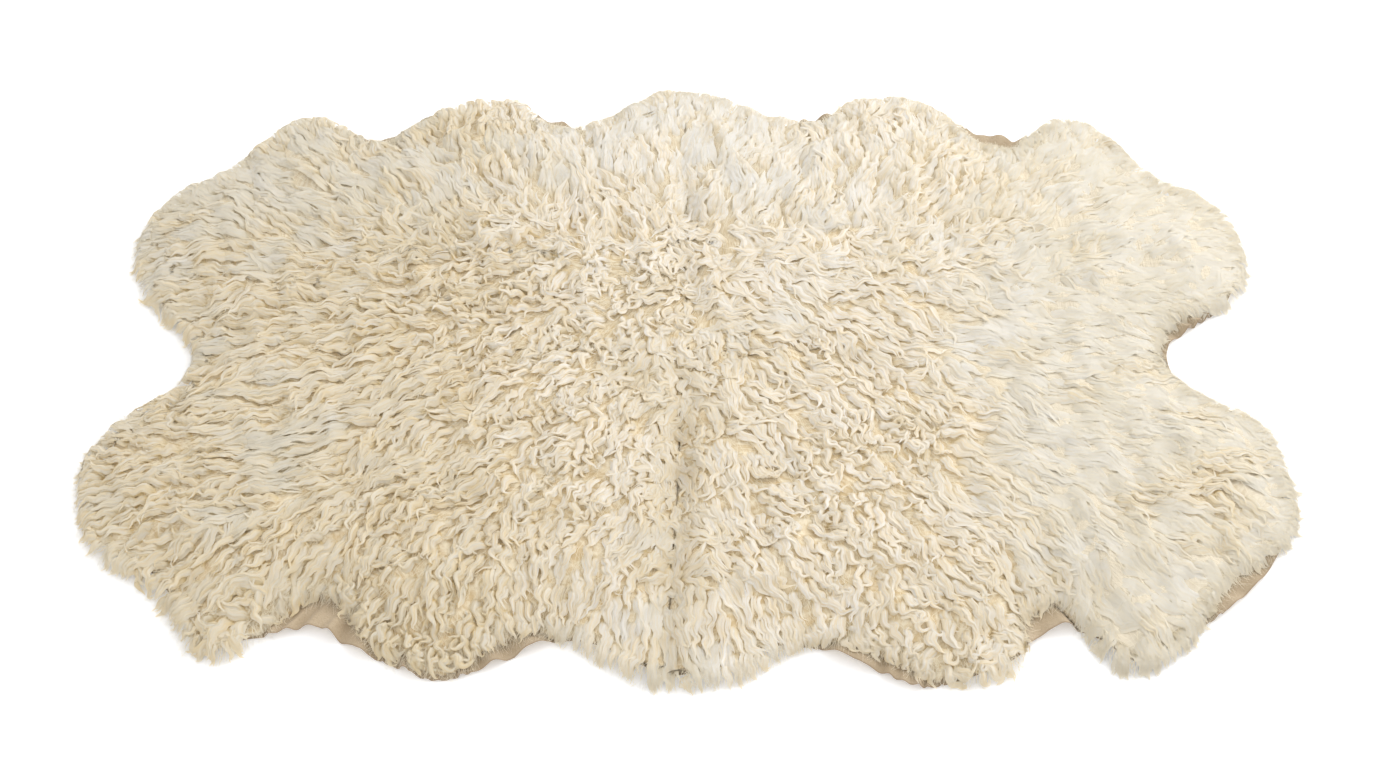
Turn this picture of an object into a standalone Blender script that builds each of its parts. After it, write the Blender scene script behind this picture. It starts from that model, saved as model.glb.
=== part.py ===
"""A sheepskin rug: four whole pelts sewn two by two, lying flat with the wool side up.

Each pelt is a tanned hide and its fleece. The hide is a thin sheet, with the outline of neck,
front leg, belly and hind leg, and it ruffles where its edge is bare. The fleece is a lumpy slab
that dips over the seams and ends in separate locks, which droop over the hide's edge and lie
level on the floor. Metres, +Z up, the origin under the middle of the rug.
"""

from typing import NamedTuple

import bmesh
import bpy
import numpy as np
from mathutils import Vector, noise
from mathutils.geometry import delaunay_2d_cdt

# Thicknesses and heights
HIDE_THICKNESS = 0.002
GAP = 0.0003  # between neighbouring pieces
FLEECE_FOOT = HIDE_THICKNESS + GAP  # the wool's underside above the floor
PILE_HEIGHT = 0.053  # the wool's top above the floor, in the middle of a pelt
SEAM_HEIGHT = 0.036  # the same where the wool parts over a seam
RIM_HEIGHT = 0.030  # the same at the slab's free rim, where the locks start
RIM_SLOPE = 0.100  # how far in from the rim the wool reaches its full height
SEAM_SLOPE = 0.055  # how far from a seam it does

# Lumps in the wool, on a staggered grid of points
LUMP_HEIGHT = 0.022
LUMP_SIZE = 0.043
GRID_PITCH = 0.036
GRID_UNEVENNESS = 0.007
GRID_TO_RIM = 0.020  # the grid starts this far in from the rim's own points

# Locks round the free rim
LOCKS_PER_PELT = 72
LOCK_LENGTH = 0.045
BARE_LOCK_LENGTH = 0.022  # where they lie on bare leather
LOCK_LEAN = 0.30  # the most that a lock leans along the rim, as a part of its length
LEAN_GROUP = 6  # locks over which the lean changes, so that neighbours stand apart
NORMAL_SPREAD = 3  # locks to each side over which their directions are evened out
LOCK_UNEVENNESS = 0.12  # the most that its length differs, as a part of it
NOTCH_LOCKS = 7  # where two necks meet at the cross seam, so many locks grow shorter
NOTCH_SHORTENING = 0.4
SEED = 9

# Columns of a pelt's rim along its two seams
CROSS_SEAM_COLUMNS = 20
CENTRE_SEAM_COLUMNS = 14

# Where its edge is bare, the hide lifts in waves between the edge and the locks' tips
RUFFLE_LENGTH = 0.072
RUFFLE_DEPTH = (0.012, 0.034)  # the least and the most
HALF_WAY_LIFT = 0.4  # half-way in, as a part of the edge's lift
LOCK_CLEARANCE = 0.010  # between the tips and the ruffles, and past the hide's edge
LEAST_ON_FLOOR = 0.1  # the part of a lock's length past the hide that lets it droop to the floor
PELT_MIDDLE = (0.42, 0.23)  # from the rug's centre, where the ruffles' troughs point

LEATHER_COLOUR = (0.61, 0.48, 0.33, 1.0)
WOOL_COLOUR = (0.78, 0.70, 0.54, 1.0)


class Edge(NamedTuple):
    """A place on the free edge of a pelt's hide, seen as if the pelt were the back right one."""

    x: float  # from the rug's centre, along the cross seam
    y: float  # from the rug's centre, along the centre seam
    wool: float  # how far the locks reach past the hide, or less than 0 where the hide is bare
    ruffle: float  # how high the hide's edge lifts in waves


class Section(NamedTuple):
    """A section of a lock, between its root on the slab's rim and its tip."""

    along: float  # as a part of the lock's length
    width: float  # as a part of its root's width
    height: float  # as a part of its root's height


LOCK_SECTIONS = (
    Section(0.42, 0.70, 0.80),
    Section(0.76, 0.40, 0.50),
    Section(1.00, 0.13, 0.15),
)

# Each outline runs from the hind leg, at the centre seam, to the neck, at the cross seam
BACK_RIGHT = (
    Edge(0.000, 0.545, 0.037, 0.000),  # hind leg
    Edge(0.075, 0.517, 0.031, 0.000),
    Edge(0.145, 0.486, 0.023, 0.000),
    Edge(0.205, 0.508, -0.008, 0.004),  # flank
    Edge(0.290, 0.529, 0.019, 0.002),
    Edge(0.385, 0.529, 0.025, 0.000),  # belly
    Edge(0.450, 0.500, 0.010, 0.000),
    Edge(0.510, 0.479, -0.026, 0.010),  # elbow
    Edge(0.570, 0.465, -0.022, 0.010),
    Edge(0.620, 0.473, 0.027, 0.000),
    Edge(0.665, 0.486, 0.029, 0.000),  # front leg
    Edge(0.720, 0.425, 0.031, 0.000),
    Edge(0.780, 0.348, 0.031, 0.000),  # shoulder
    Edge(0.868, 0.298, 0.036, 0.000),  # neck
    Edge(0.900, 0.205, 0.036, 0.000),
    Edge(0.876, 0.125, 0.029, 0.000),
    Edge(0.814, 0.070, -0.008, 0.000),
    Edge(0.769, 0.036, -0.010, 0.000),
    Edge(0.764, 0.000, -0.010, 0.000),
)
BACK_LEFT = (
    Edge(0.000, 0.545, 0.037, 0.000),  # hind leg
    Edge(0.070, 0.514, 0.033, 0.000),
    Edge(0.135, 0.481, 0.027, 0.000),
    Edge(0.200, 0.498, -0.006, 0.004),  # flank
    Edge(0.268, 0.521, 0.008, 0.002),
    Edge(0.335, 0.522, 0.028, 0.000),  # belly
    Edge(0.415, 0.505, 0.025, 0.000),
    Edge(0.485, 0.482, -0.008, 0.008),  # elbow
    Edge(0.550, 0.466, -0.014, 0.008),
    Edge(0.595, 0.468, 0.023, 0.000),
    Edge(0.643, 0.489, 0.031, 0.000),  # front leg
    Edge(0.692, 0.450, 0.031, 0.000),
    Edge(0.735, 0.388, 0.031, 0.000),  # shoulder
    Edge(0.850, 0.305, 0.035, 0.000),  # neck
    Edge(0.884, 0.215, 0.035, 0.000),
    Edge(0.846, 0.118, 0.031, 0.000),
    Edge(0.785, 0.062, 0.025, 0.000),
    Edge(0.756, 0.000, 0.019, 0.000),
)
FRONT_LEFT = (
    Edge(0.030, 0.549, 0.036, 0.000),  # hind leg
    Edge(0.085, 0.516, 0.031, 0.000),
    Edge(0.145, 0.492, 0.021, 0.000),
    Edge(0.200, 0.497, -0.006, 0.003),  # flank
    Edge(0.280, 0.534, -0.009, 0.004),
    Edge(0.358, 0.555, -0.010, 0.004),  # belly
    Edge(0.430, 0.528, -0.012, 0.005),
    Edge(0.485, 0.503, -0.034, 0.014),  # elbow
    Edge(0.535, 0.474, -0.046, 0.016),
    Edge(0.590, 0.482, -0.028, 0.012),
    Edge(0.645, 0.490, 0.031, 0.000),
    Edge(0.692, 0.502, 0.035, 0.000),  # front leg
    Edge(0.735, 0.445, 0.033, 0.000),
    Edge(0.790, 0.376, 0.031, 0.000),  # shoulder
    Edge(0.876, 0.320, 0.035, 0.000),  # neck
    Edge(0.902, 0.235, 0.035, 0.000),
    Edge(0.868, 0.135, 0.033, 0.000),
    Edge(0.795, 0.072, 0.025, 0.000),
    Edge(0.757, 0.000, 0.019, 0.000),
)
FRONT_RIGHT = (
    Edge(-0.030, 0.549, 0.034, 0.000),  # hind leg
    Edge(0.050, 0.533, 0.035, 0.000),
    Edge(0.115, 0.500, 0.029, 0.000),
    Edge(0.190, 0.505, -0.004, 0.004),  # flank
    Edge(0.265, 0.538, -0.008, 0.003),
    Edge(0.335, 0.567, -0.009, 0.004),  # belly
    Edge(0.415, 0.546, 0.027, 0.000),
    Edge(0.470, 0.522, 0.025, 0.000),
    Edge(0.508, 0.489, -0.028, 0.010),  # elbow
    Edge(0.552, 0.472, -0.036, 0.015),
    Edge(0.600, 0.488, 0.019, 0.000),
    Edge(0.652, 0.525, 0.035, 0.000),  # front leg
    Edge(0.715, 0.488, 0.025, 0.000),
    Edge(0.790, 0.443, -0.014, 0.005),  # shoulder
    Edge(0.858, 0.380, -0.012, 0.004),
    Edge(0.898, 0.305, 0.031, 0.000),  # neck
    Edge(0.904, 0.215, 0.035, 0.000),
    Edge(0.872, 0.118, 0.029, 0.000),
    Edge(0.808, 0.062, 0.006, 0.000),
    Edge(0.772, 0.026, -0.006, 0.000),
    Edge(0.764, 0.000, -0.008, 0.000),
)


class Pelt(NamedTuple):
    """One sheepskin: its name, the quarter of the rug that it lies in, and its outline."""

    name: str
    quarter: tuple  # the signs of x and y
    outline: tuple


PELTS = (
    Pelt("back_left", (-1, 1), BACK_LEFT),
    Pelt("back_right", (1, 1), BACK_RIGHT),
    Pelt("front_left", (-1, -1), FRONT_LEFT),
    Pelt("front_right", (1, -1), FRONT_RIGHT),
)


def clear_scene():
    for thing in list(bpy.data.objects):
        bpy.data.objects.remove(thing)


def make_material(name, colour, roughness):
    material = bpy.data.materials.new(name)
    material.use_nodes = True
    shader = material.node_tree.nodes["Principled BSDF"]
    shader.inputs["Base Color"].default_value = colour
    shader.inputs["Roughness"].default_value = roughness
    shader.inputs["Metallic"].default_value = 0.0
    return material


def smooth_path(rows, count):
    """A Catmull-Rom curve through the rows' columns, as points evenly spaced in plan."""
    knots = np.array(rows)
    knots = np.vstack([2 * knots[0] - knots[1], knots, 2 * knots[-1] - knots[-2]])
    t = np.linspace(0, 1, 24, endpoint=False)[:, None]
    before, start, end, after = knots[:-3, None], knots[1:-2, None], knots[2:-1, None], knots[3:, None]
    curve = 0.5 * (
        2 * start
        + (end - before) * t
        + (2 * before - 5 * start + 4 * end - after) * t**2
        + (3 * start - before - 3 * end + after) * t**3
    )
    curve = np.vstack([curve.reshape(-1, knots.shape[1]), knots[-2]])
    length = np.append(0, np.cumsum(np.linalg.norm(np.diff(curve[:, :2], axis=0), axis=1)))
    even = np.linspace(0, length[-1], count)
    return np.column_stack([np.interp(even, length, column) for column in curve.T])


def outward(path):
    """Unit normals of a free edge in plan, which turn slowly and at both ends follow a seam."""
    along = np.gradient(path, axis=0)
    normals = np.column_stack([-along[:, 1], along[:, 0]])
    normals /= np.linalg.norm(normals, axis=1, keepdims=True)
    padded = np.pad(normals, ((NORMAL_SPREAD, NORMAL_SPREAD), (0, 0)), mode="edge")
    window = 2 * NORMAL_SPREAD + 1
    normals = sum(padded[i : i + len(path)] for i in range(window))
    normals[0] = path[0]
    normals[-1] = (1, 0)
    return normals / np.linalg.norm(normals, axis=1, keepdims=True)


def closed_rim(free):
    """A pelt's whole rim in plan: its free edge, then the cross seam and the centre seam."""
    centre = np.zeros(2)
    to_centre = np.linspace(free[-1], centre, CROSS_SEAM_COLUMNS + 1)[1:]
    to_leg = np.linspace(centre, free[0], CENTRE_SEAM_COLUMNS + 1)[1:-1]
    return np.vstack([free, to_centre, to_leg])


def distance_to_path(points, path):
    """The distance in plan from each point to the nearest segment of a path."""
    start, step = path[:-1], np.diff(path, axis=0)
    offset = points[:, None] - start
    part = (offset * step).sum(2) / (step**2).sum(1)
    nearest = start + np.clip(part, 0, 1)[..., None] * step
    return np.linalg.norm(points[:, None] - nearest, axis=2).min(1)


def ease(distance, reach):
    """0 at no distance, rising steeply and then levelling out at 1 at the reach."""
    part = np.clip(distance / reach, 0, 1)
    return np.sin(part * np.pi / 2)


def wool_height(plan, free, quarter):
    """The wool's top above the floor: full in the middle, lower at the rim and over the seams."""
    to_seams = np.minimum(
        distance_to_path(plan, np.array([(0, 0), free[0]])),
        distance_to_path(plan, np.array([(0, 0), free[-1]])),
    )
    from_rim = ease(distance_to_path(plan, free), RIM_SLOPE)
    full = PILE_HEIGHT - (PILE_HEIGHT - SEAM_HEIGHT) * (1 - ease(to_seams, SEAM_SLOPE))
    places = np.column_stack([plan * quarter, np.zeros(len(plan))]) / LUMP_SIZE
    lumps = np.array([noise.noise(Vector(place)) for place in places])
    return RIM_HEIGHT + (full - RIM_HEIGHT + LUMP_HEIGHT * lumps) * from_rim


def fill_rim(rim, random):
    """Triangles inside a closed rim, over the rim's points and a staggered grid of points.

    Returns the points in plan, the triangles, and each rim point's place among the points.
    """
    low, high = rim.min(0), rim.max(0)
    row_pitch = GRID_PITCH * np.sqrt(3) / 2
    x, y = np.meshgrid(np.arange(low[0], high[0], GRID_PITCH), np.arange(low[1], high[1], row_pitch))
    x[::2] += GRID_PITCH / 2
    grid = np.column_stack([x.ravel(), y.ravel()])
    grid += random.uniform(-GRID_UNEVENNESS, GRID_UNEVENNESS, grid.shape)
    grid = grid[distance_to_path(grid, np.vstack([rim, rim[:1]])) > GRID_TO_RIM]
    points = [Vector(point) for point in np.vstack([rim, grid])]
    border = [(i, (i + 1) % len(rim)) for i in range(len(rim))]
    inside_only, weld = 1, 1e-6
    plan, _, faces, sources, _, _ = delaunay_2d_cdt(points, border, [], inside_only, weld)
    place = {source: i for i, merged in enumerate(sources) for source in merged}
    return np.array(plan), faces, [place[i] for i in range(len(rim))]


def add_ring(bm, plan, height):
    return [bm.verts.new((x, y, z)) for (x, y), z in zip(plan, np.broadcast_to(height, len(plan)))]


def bridge(bm, ring, other, columns=None):
    """Quads between two closed rings, or only on the columns given."""
    for i in range(len(ring)) if columns is None else columns:
        j = (i + 1) % len(ring)
        bm.faces.new((ring[i], ring[j], other[j], other[i]))


def to_object(bm, name, quarter, material, collection):
    """Mirror the back right quarter's mesh into its own quarter and make it an object."""
    bmesh.ops.translate(bm, verts=bm.verts, vec=(GAP / 2, GAP / 2, 0))
    bmesh.ops.scale(bm, verts=bm.verts, vec=(*quarter, 1))
    bmesh.ops.recalc_face_normals(bm, faces=bm.faces)
    mesh = bpy.data.meshes.new(name)
    bm.to_mesh(mesh)
    bm.free()
    mesh.shade_smooth()
    mesh.materials.append(material)
    thing = bpy.data.objects.new(name, mesh)
    collection.objects.link(thing)
    return thing


def make_hide(pelt, material, collection):
    """A sheet in the pelt's outline, its underside on the floor but where the edge ruffles."""
    edge = smooth_path(pelt.outline, LOCKS_PER_PELT + 1)
    path, bare = edge[:, :2], -edge[:, 2] - LOCK_CLEARANCE
    length = np.append(0, np.cumsum(np.linalg.norm(np.diff(path, axis=0), axis=1)))
    wave = 0.5 - 0.5 * np.cos(2 * np.pi * length / RUFFLE_LENGTH)
    rim = closed_rim(path)
    height, depth = np.zeros(len(rim)), np.full(len(rim), RUFFLE_DEPTH[0])
    height[: len(path)] = edge[:, 3] * wave * (bare > RUFFLE_DEPTH[0])
    depth[: len(path)] = bare.clip(*RUFFLE_DEPTH)
    middle = np.array(PELT_MIDDLE)
    inward = (middle - rim) / np.linalg.norm(middle - rim, axis=1, keepdims=True)
    bm = bmesh.new()
    outer = add_ring(bm, rim, height)
    half_way = add_ring(bm, rim + inward * depth[:, None] / 2, height * HALF_WAY_LIFT)
    level = add_ring(bm, rim + inward * depth[:, None], 0)
    bridge(bm, outer, half_way)
    bridge(bm, half_way, level)
    bm.faces.new(level)
    hide = to_object(bm, f"hide_{pelt.name}", pelt.quarter, material, collection)
    if hide.data.polygons[-1].normal.z < 0:
        hide.data.flip_normals()
    sheet = hide.modifiers.new("Leather", "SOLIDIFY")
    sheet.thickness = HIDE_THICKNESS
    sheet.offset = 1
    return hide


def lock_sections(edge_at):
    """Where a lock's sections lie along it, and how high their undersides are.

    A lock that reaches past the hide's edge crosses it first and then lies on the floor. Any
    other lies on the hide.
    """
    places = [section.along for section in LOCK_SECTIONS]
    feet = [FLEECE_FOOT] * len(places)
    if edge_at < 1 - LEAST_ON_FLOOR:
        places[0] = max(places[0], edge_at)
        places[1] = (places[0] + places[2]) / 2
        feet[1:] = 0, 0
    return zip(LOCK_SECTIONS, places, feet)


def add_lock(bm, root, middle, direction, width, edge_at):
    """Loft a lock from four corners of the slab's rim, two below and two above, out to its tip."""
    across = Vector((direction.y, -direction.x, 0)).normalized() * width / 2
    ring = root
    for section, along, foot in lock_sections(edge_at):
        top = foot + (RIM_HEIGHT - FLEECE_FOOT) * section.height
        point = middle + direction * along
        side = across * section.width
        corners = ((side, foot), (-side, foot), (-side, top), (side, top))
        following = [bm.verts.new(point + sideways + Vector((0, 0, z))) for sideways, z in corners]
        bridge(bm, ring, following)
        ring = following
    bm.faces.new(ring)


def make_fleece(pelt, material, collection, random):
    """A lumpy slab on the hide, with a lock on each free column of its rim."""
    edge = smooth_path(pelt.outline, LOCKS_PER_PELT + 1)
    path, wool = edge[:, :2], edge[:, 2]
    reach = np.interp(wool, (-0.01, 0.01), (BARE_LOCK_LENGTH, LOCK_LENGTH))
    reach[-NOTCH_LOCKS:] *= np.linspace(1, NOTCH_SHORTENING, NOTCH_LOCKS)
    normals = outward(path)
    free = path + normals * (wool - reach)[:, None]
    rim = closed_rim(free)
    plan, triangles, on_rim = fill_rim(rim, random)

    bm = bmesh.new()
    foot = add_ring(bm, rim, FLEECE_FOOT)
    surface = add_ring(bm, plan, wool_height(plan, free, pelt.quarter))
    for triangle in triangles:
        bm.faces.new([surface[i] for i in triangle])
    top = [surface[i] for i in on_rim]
    bridge(bm, foot, top, range(LOCKS_PER_PELT, len(rim)))
    bm.faces.new(foot)

    groups = np.arange(0, LOCKS_PER_PELT + LEAN_GROUP, LEAN_GROUP)
    leans = random.uniform(-LOCK_LEAN, LOCK_LEAN, len(groups))
    leans[0], leans[-2:] = abs(leans[0]), -LOCK_LEAN  # away from the seams
    leans = np.interp(range(LOCKS_PER_PELT), groups, leans)
    lengths = 1 + random.uniform(-LOCK_UNEVENNESS, LOCK_UNEVENNESS, LOCKS_PER_PELT)
    for i in range(LOCKS_PER_PELT):
        root = (foot[i + 1], foot[i], top[i], top[i + 1])
        between = Vector((*(free[i] + free[i + 1]) / 2, 0))
        width = np.linalg.norm(free[i + 1] - free[i])
        out = Vector((*(normals[i] + normals[i + 1]), 0)).normalized()
        lean = Vector((out.y, -out.x, 0)) * leans[i]
        direction = (out + lean) * lengths[i] * (reach[i] + reach[i + 1]) / 2
        direction.y = max(direction.y, width / 2 - between.y)  # on its side of the cross seam
        to_edge = (reach - wool)[i : i + 2].max() + LOCK_CLEARANCE
        add_lock(bm, root, between, direction, width, to_edge / direction.length)
    return to_object(bm, f"fleece_{pelt.name}", pelt.quarter, material, collection)


def centre_over_origin(things):
    """Move all the pieces together, so that the middle of their box in plan is at the origin."""
    corners = np.array([vertex.co for thing in things for vertex in thing.data.vertices])
    middle = (corners.min(0) + corners.max(0)) / 2
    for thing in things:
        thing.location = (-middle[0], -middle[1], 0)


clear_scene()
rug = bpy.data.collections.new("Sheepskin rug")
bpy.context.scene.collection.children.link(rug)
leather = make_material("Tanned leather", LEATHER_COLOUR, 0.75)
wool_fibre = make_material("Wool", WOOL_COLOUR, 0.90)
random = np.random.default_rng(SEED)
pieces = []
for pelt in PELTS:
    pieces.append(make_hide(pelt, leather, rug))
    pieces.append(make_fleece(pelt, wool_fibre, rug, random))
centre_over_origin(pieces)
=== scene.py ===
import math

import bpy
import numpy as np
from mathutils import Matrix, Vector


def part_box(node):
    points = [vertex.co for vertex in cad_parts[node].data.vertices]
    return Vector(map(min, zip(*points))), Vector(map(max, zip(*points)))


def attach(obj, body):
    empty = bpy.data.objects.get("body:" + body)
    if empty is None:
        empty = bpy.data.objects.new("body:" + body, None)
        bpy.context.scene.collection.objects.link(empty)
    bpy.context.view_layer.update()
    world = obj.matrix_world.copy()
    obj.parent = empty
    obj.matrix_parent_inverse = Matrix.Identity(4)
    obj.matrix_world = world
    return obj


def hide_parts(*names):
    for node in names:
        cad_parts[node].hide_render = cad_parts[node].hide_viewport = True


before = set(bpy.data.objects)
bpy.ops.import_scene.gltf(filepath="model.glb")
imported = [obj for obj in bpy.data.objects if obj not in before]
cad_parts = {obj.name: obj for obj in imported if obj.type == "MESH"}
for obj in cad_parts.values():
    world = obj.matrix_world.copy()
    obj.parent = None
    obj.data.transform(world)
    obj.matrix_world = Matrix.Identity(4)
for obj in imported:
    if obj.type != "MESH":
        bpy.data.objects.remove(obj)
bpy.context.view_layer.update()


# --- The four hides -----------------------------------------------------------------------------------
# Each is one whole tanned sheepskin, about 2 mm of leather cut to its natural outline and laid flesh side
# down. Where no wool hides its edge, the skin lifts off the floor in ruffles and shows a darker cut face.

PELTS = ("back_left", "back_right", "front_left", "front_right")
MIDDLE_OUT = 0.42
MIDDLE_DEEP = 0.23
SEAM_SLANT = 0.052

# The directions in which a pelt's outline is measured, in radians from the rug's length.
AROUND = 540
ROUND = np.arange(AROUND) * 2 * math.pi / AROUND

# Half the leather's thickness, its gap to the floor, and how high and wide its ridge over a seam is.
HALF_HIDE = 0.0009
OFF_FLOOR = 0.0001
SEAM_RIDGE = 0.0008
SEAM_RIDGE_WIDTH = 0.006

# A bare edge's ruffles: how far in they reach, how long one is along the edge, and half their height.
RUFFLE_LENGTH = 0.072
RUFFLE_PITCH = 0.044
RUFFLE_LIFT = 0.0095

# How far the wool hangs past the skin's edge, and how much further along the rug's back.
FRINGE = 0.006
BACK_FRINGE = 0.015

# Where the belly's curls hang out over the skin's edge: a place, and how far round it that goes.
OVERHANGS = np.array((
    (-0.44, -0.52, 0.05), (-0.35, -0.545, 0.06), (0.41, -0.57, 0.07), (-0.36, 0.53, 0.07), (0.38, 0.54, 0.08),
))

# Where the wool stops short of the edge and the skin shows: a place, how far round it, and how wide it is.
BARE_SKIN = np.array((
    (-0.25, -0.52, 0.050, 0.022), (0.245, -0.54, 0.060, 0.018), (-0.22, 0.506, 0.050, 0.020),
    (0.225, 0.516, 0.040, 0.018),
))

# Where a tuft hangs out further than its neighbours: a place, how far round it, and how much further.
LONG_TUFTS = np.array((
    (0.0, 0.565, 0.030, 0.022), (0.485, -0.545, 0.022, 0.022), (-0.06, -0.575, 0.05, 0.006),
    (-0.72, -0.50, 0.04, 0.006), (0.70, -0.53, 0.05, 0.008),
))

# Across the leather its profile runs out under it, round the cut edge and back over it: how far inside the
# edge each point is, and on which side of the leather.
INSET = np.array((0.19, 0.05, 0.018, 0.005, 0.0006, 0, 0.0006, 0.004, 0.010, 0.018, 0.028, 0.040, 0.056,
                  0.085, 0.19))
SIDE = np.sign(np.arange(len(INSET)) - INSET.argmin())


def pelt_middle(pelt):
    """The place a pelt is measured from: MIDDLE_OUT from the centre seam, MIDDLE_DEEP from the cross seam."""
    return np.array((MIDDLE_OUT if "right" in pelt else -MIDDLE_OUT,
                     MIDDLE_DEEP if "back" in pelt else -MIDDLE_DEEP))


def packed_outline(node, middle):
    """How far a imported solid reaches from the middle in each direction, and how high its edge is there.

    An edge from a to b meets a ray where a + t (b - a) = distance * ray, with t from 0 to 1. The farthest
    meeting of all the edges counts, and its height is the edge's height at t.
    """
    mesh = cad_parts[node].data
    mesh.calc_loop_triangles()
    places = np.empty(len(mesh.vertices) * 3)
    mesh.vertices.foreach_get("co", places)
    picks = np.empty(len(mesh.loop_triangles) * 3, np.int32)
    mesh.loop_triangles.foreach_get("vertices", picks)
    corners = places.reshape(-1, 3)[picks].reshape(-1, 3, 3)
    start = corners.reshape(-1, 3)
    along = np.roll(corners, -1, axis=1).reshape(-1, 3) - start
    east, north = np.cos(ROUND)[:, None], np.sin(ROUND)[:, None]
    from_x, from_y = start[:, 0] - middle[0], start[:, 1] - middle[1]
    crossing = along[:, 0] * north - along[:, 1] * east
    share = (from_y * east - from_x * north) / np.where(np.abs(crossing) < 1e-12, 1e-12, crossing)
    distance = (from_x + share * along[:, 0]) * east + (from_y + share * along[:, 1]) * north
    distance = np.where((share >= 0) & (share <= 1), distance, 0)
    farthest = distance.argmax(1)
    rows = np.arange(AROUND)
    return distance[rows, farthest], start[farthest, 2] + share[rows, farthest] * along[farthest, 2]


def smooth_round(values, spread):
    """Values round a closed line, each the bell-weighted mean of its neighbours; spread counts steps."""
    waves = np.fft.rfft(values)
    bell = np.exp(-2 * (math.pi * spread * np.arange(len(waves)) / len(values)) ** 2)
    return np.fft.irfft(waves * bell, len(values))


def ease(share):
    """A smooth step: 0 up to 0, 1 from 1, and 3 t^2 - 2 t^3 between."""
    share = np.clip(share, 0, 1)
    return share * share * (3 - 2 * share)


def drift(x, y, size, seed):
    """A smooth wandering about 0, mostly within 1: nine plane waves about size long, in seeded directions."""
    chance = np.random.default_rng(seed)
    turn, phase = chance.uniform(0, 2 * math.pi, (2, 9))
    rate = 2 * math.pi / (size * chance.uniform(0.7, 1.5, 9))
    across = np.asarray(x)[..., None] * np.cos(turn) + np.asarray(y)[..., None] * np.sin(turn)
    return np.sin(across * rate + phase).mean(-1) * 2


def beside_centre_seam(x, y):
    """How far to the right of the centre seam a place is. The seam's front half slants 52 mm in a metre."""
    return x - SEAM_SLANT * np.minimum(y, 0)


def from_seams(x, y):
    """How far a place is from the nearer seam."""
    return np.minimum(np.abs(beside_centre_seam(x, y)), np.abs(y))


def closeness(rim, places, power=2):
    """How close each point of a rim is to each listed place: exp(-(gap / how far round it goes)^power)."""
    gap = np.hypot(rim[:, :1] - places[:, 0], rim[:, 1:] - places[:, 1])
    return np.exp(-(gap / places[:, 2]) ** power)


def wool_edge(rim, reach, inner, seam_gap):
    """How far the wool reaches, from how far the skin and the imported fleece, inner, do.

    Where the fleece ends within 14 mm of the skin's edge, its fringe hangs over that edge. Wool goes further
    out under the belly's curls and at long tufts, and stops short of the edge where the skin is bare.
    """
    over = closeness(rim, OVERHANGS).max(1)
    hanging = smooth_round(1 - ease((reach - inner - 0.004) / 0.010), 2) * ease((seam_gap - 0.01) / 0.04)
    fringe = FRINGE + BACK_FRINGE * ease((rim[:, 1] - 0.1) / 0.3)
    edge = inner + 0.85 * over * np.clip(reach - inner, 0, None)
    edge = np.maximum(edge, inner + hanging * (reach + fringe - inner))
    edge = edge + (closeness(rim, LONG_TUFTS) * LONG_TUFTS[:, 3]).max(1)
    shown = np.clip(edge[:, None] - reach[:, None] + BARE_SKIN[:, 3], 0, None)
    return edge - (closeness(rim, BARE_SKIN, power=4) * shown).max(1)


def ruffled(rim, lift, bare):
    """How high the skin's edge is. A bare edge rises by RUFFLE_LIFT (1 + sin(2 pi walked / RUFFLE_PITCH)).

    Its waves are of uneven length and height, because a drift moves and scales them.
    """
    walked = np.cumsum(np.hypot(*(np.roll(rim, -1, axis=0) - rim).T))
    ruffle = np.sin(2 * math.pi * walked / RUFFLE_PITCH + 4.5 * drift(rim[:, 0], rim[:, 1], 0.12, 3))
    ruffle = ruffle * (0.75 + 0.5 * drift(rim[:, 0], rim[:, 1], 0.08, 13))
    return np.clip(lift * (1 - 0.3 * bare) + bare * RUFFLE_LIFT * (1 + ruffle), 0, None)


def surface_mesh(name, points, closed=False, capped=False):
    """A mesh of quads between neighbours on a grid of points: patch, row, column, axis.

    closed joins the last row to the first, and capped shuts the first and last columns with one flat face.
    """
    patches, rows, columns = points.shape[:3]
    numbers = np.arange(patches * rows * columns).reshape(patches, rows, columns)
    after = np.roll(numbers, -1, axis=1) if closed else numbers[:, 1:]
    before = numbers if closed else numbers[:, :-1]
    quads = np.stack((before[..., :-1], after[..., :-1], after[..., 1:], before[..., 1:]), -1)
    faces = quads.reshape(-1, 4).tolist()
    if capped:
        faces += [numbers[0, ::-1, 0].tolist(), numbers[0, :, -1].tolist()]
    mesh = bpy.data.meshes.new(name)
    mesh.from_pydata(points.reshape(-1, 3).tolist(), [], faces)
    mesh.shade_smooth()
    piece = bpy.data.objects.new(name, mesh)
    bpy.context.scene.collection.objects.link(piece)
    return piece


def mark(piece, name, values):
    """Keeps a number or a vector at every point of a mesh, for its material."""
    kind, field = ("FLOAT", "value") if values.shape[-1] == 1 else ("FLOAT_VECTOR", "vector")
    made = piece.data.attributes.new(name, kind, "POINT")
    made.data.foreach_set(field, values.astype(np.float32).ravel())


def lay_out(piece, u, v):
    """The piece's own map: every corner of a face takes its point's u and v."""
    corner_points = np.empty(len(piece.data.loops), np.int32)
    piece.data.loops.foreach_get("vertex_index", corner_points)
    both = np.stack((u.ravel(), v.ravel()), -1)[corner_points]
    piece.data.uv_layers.new(name="OFBake").data.foreach_set("uv", both.astype(np.float32).ravel())


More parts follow.
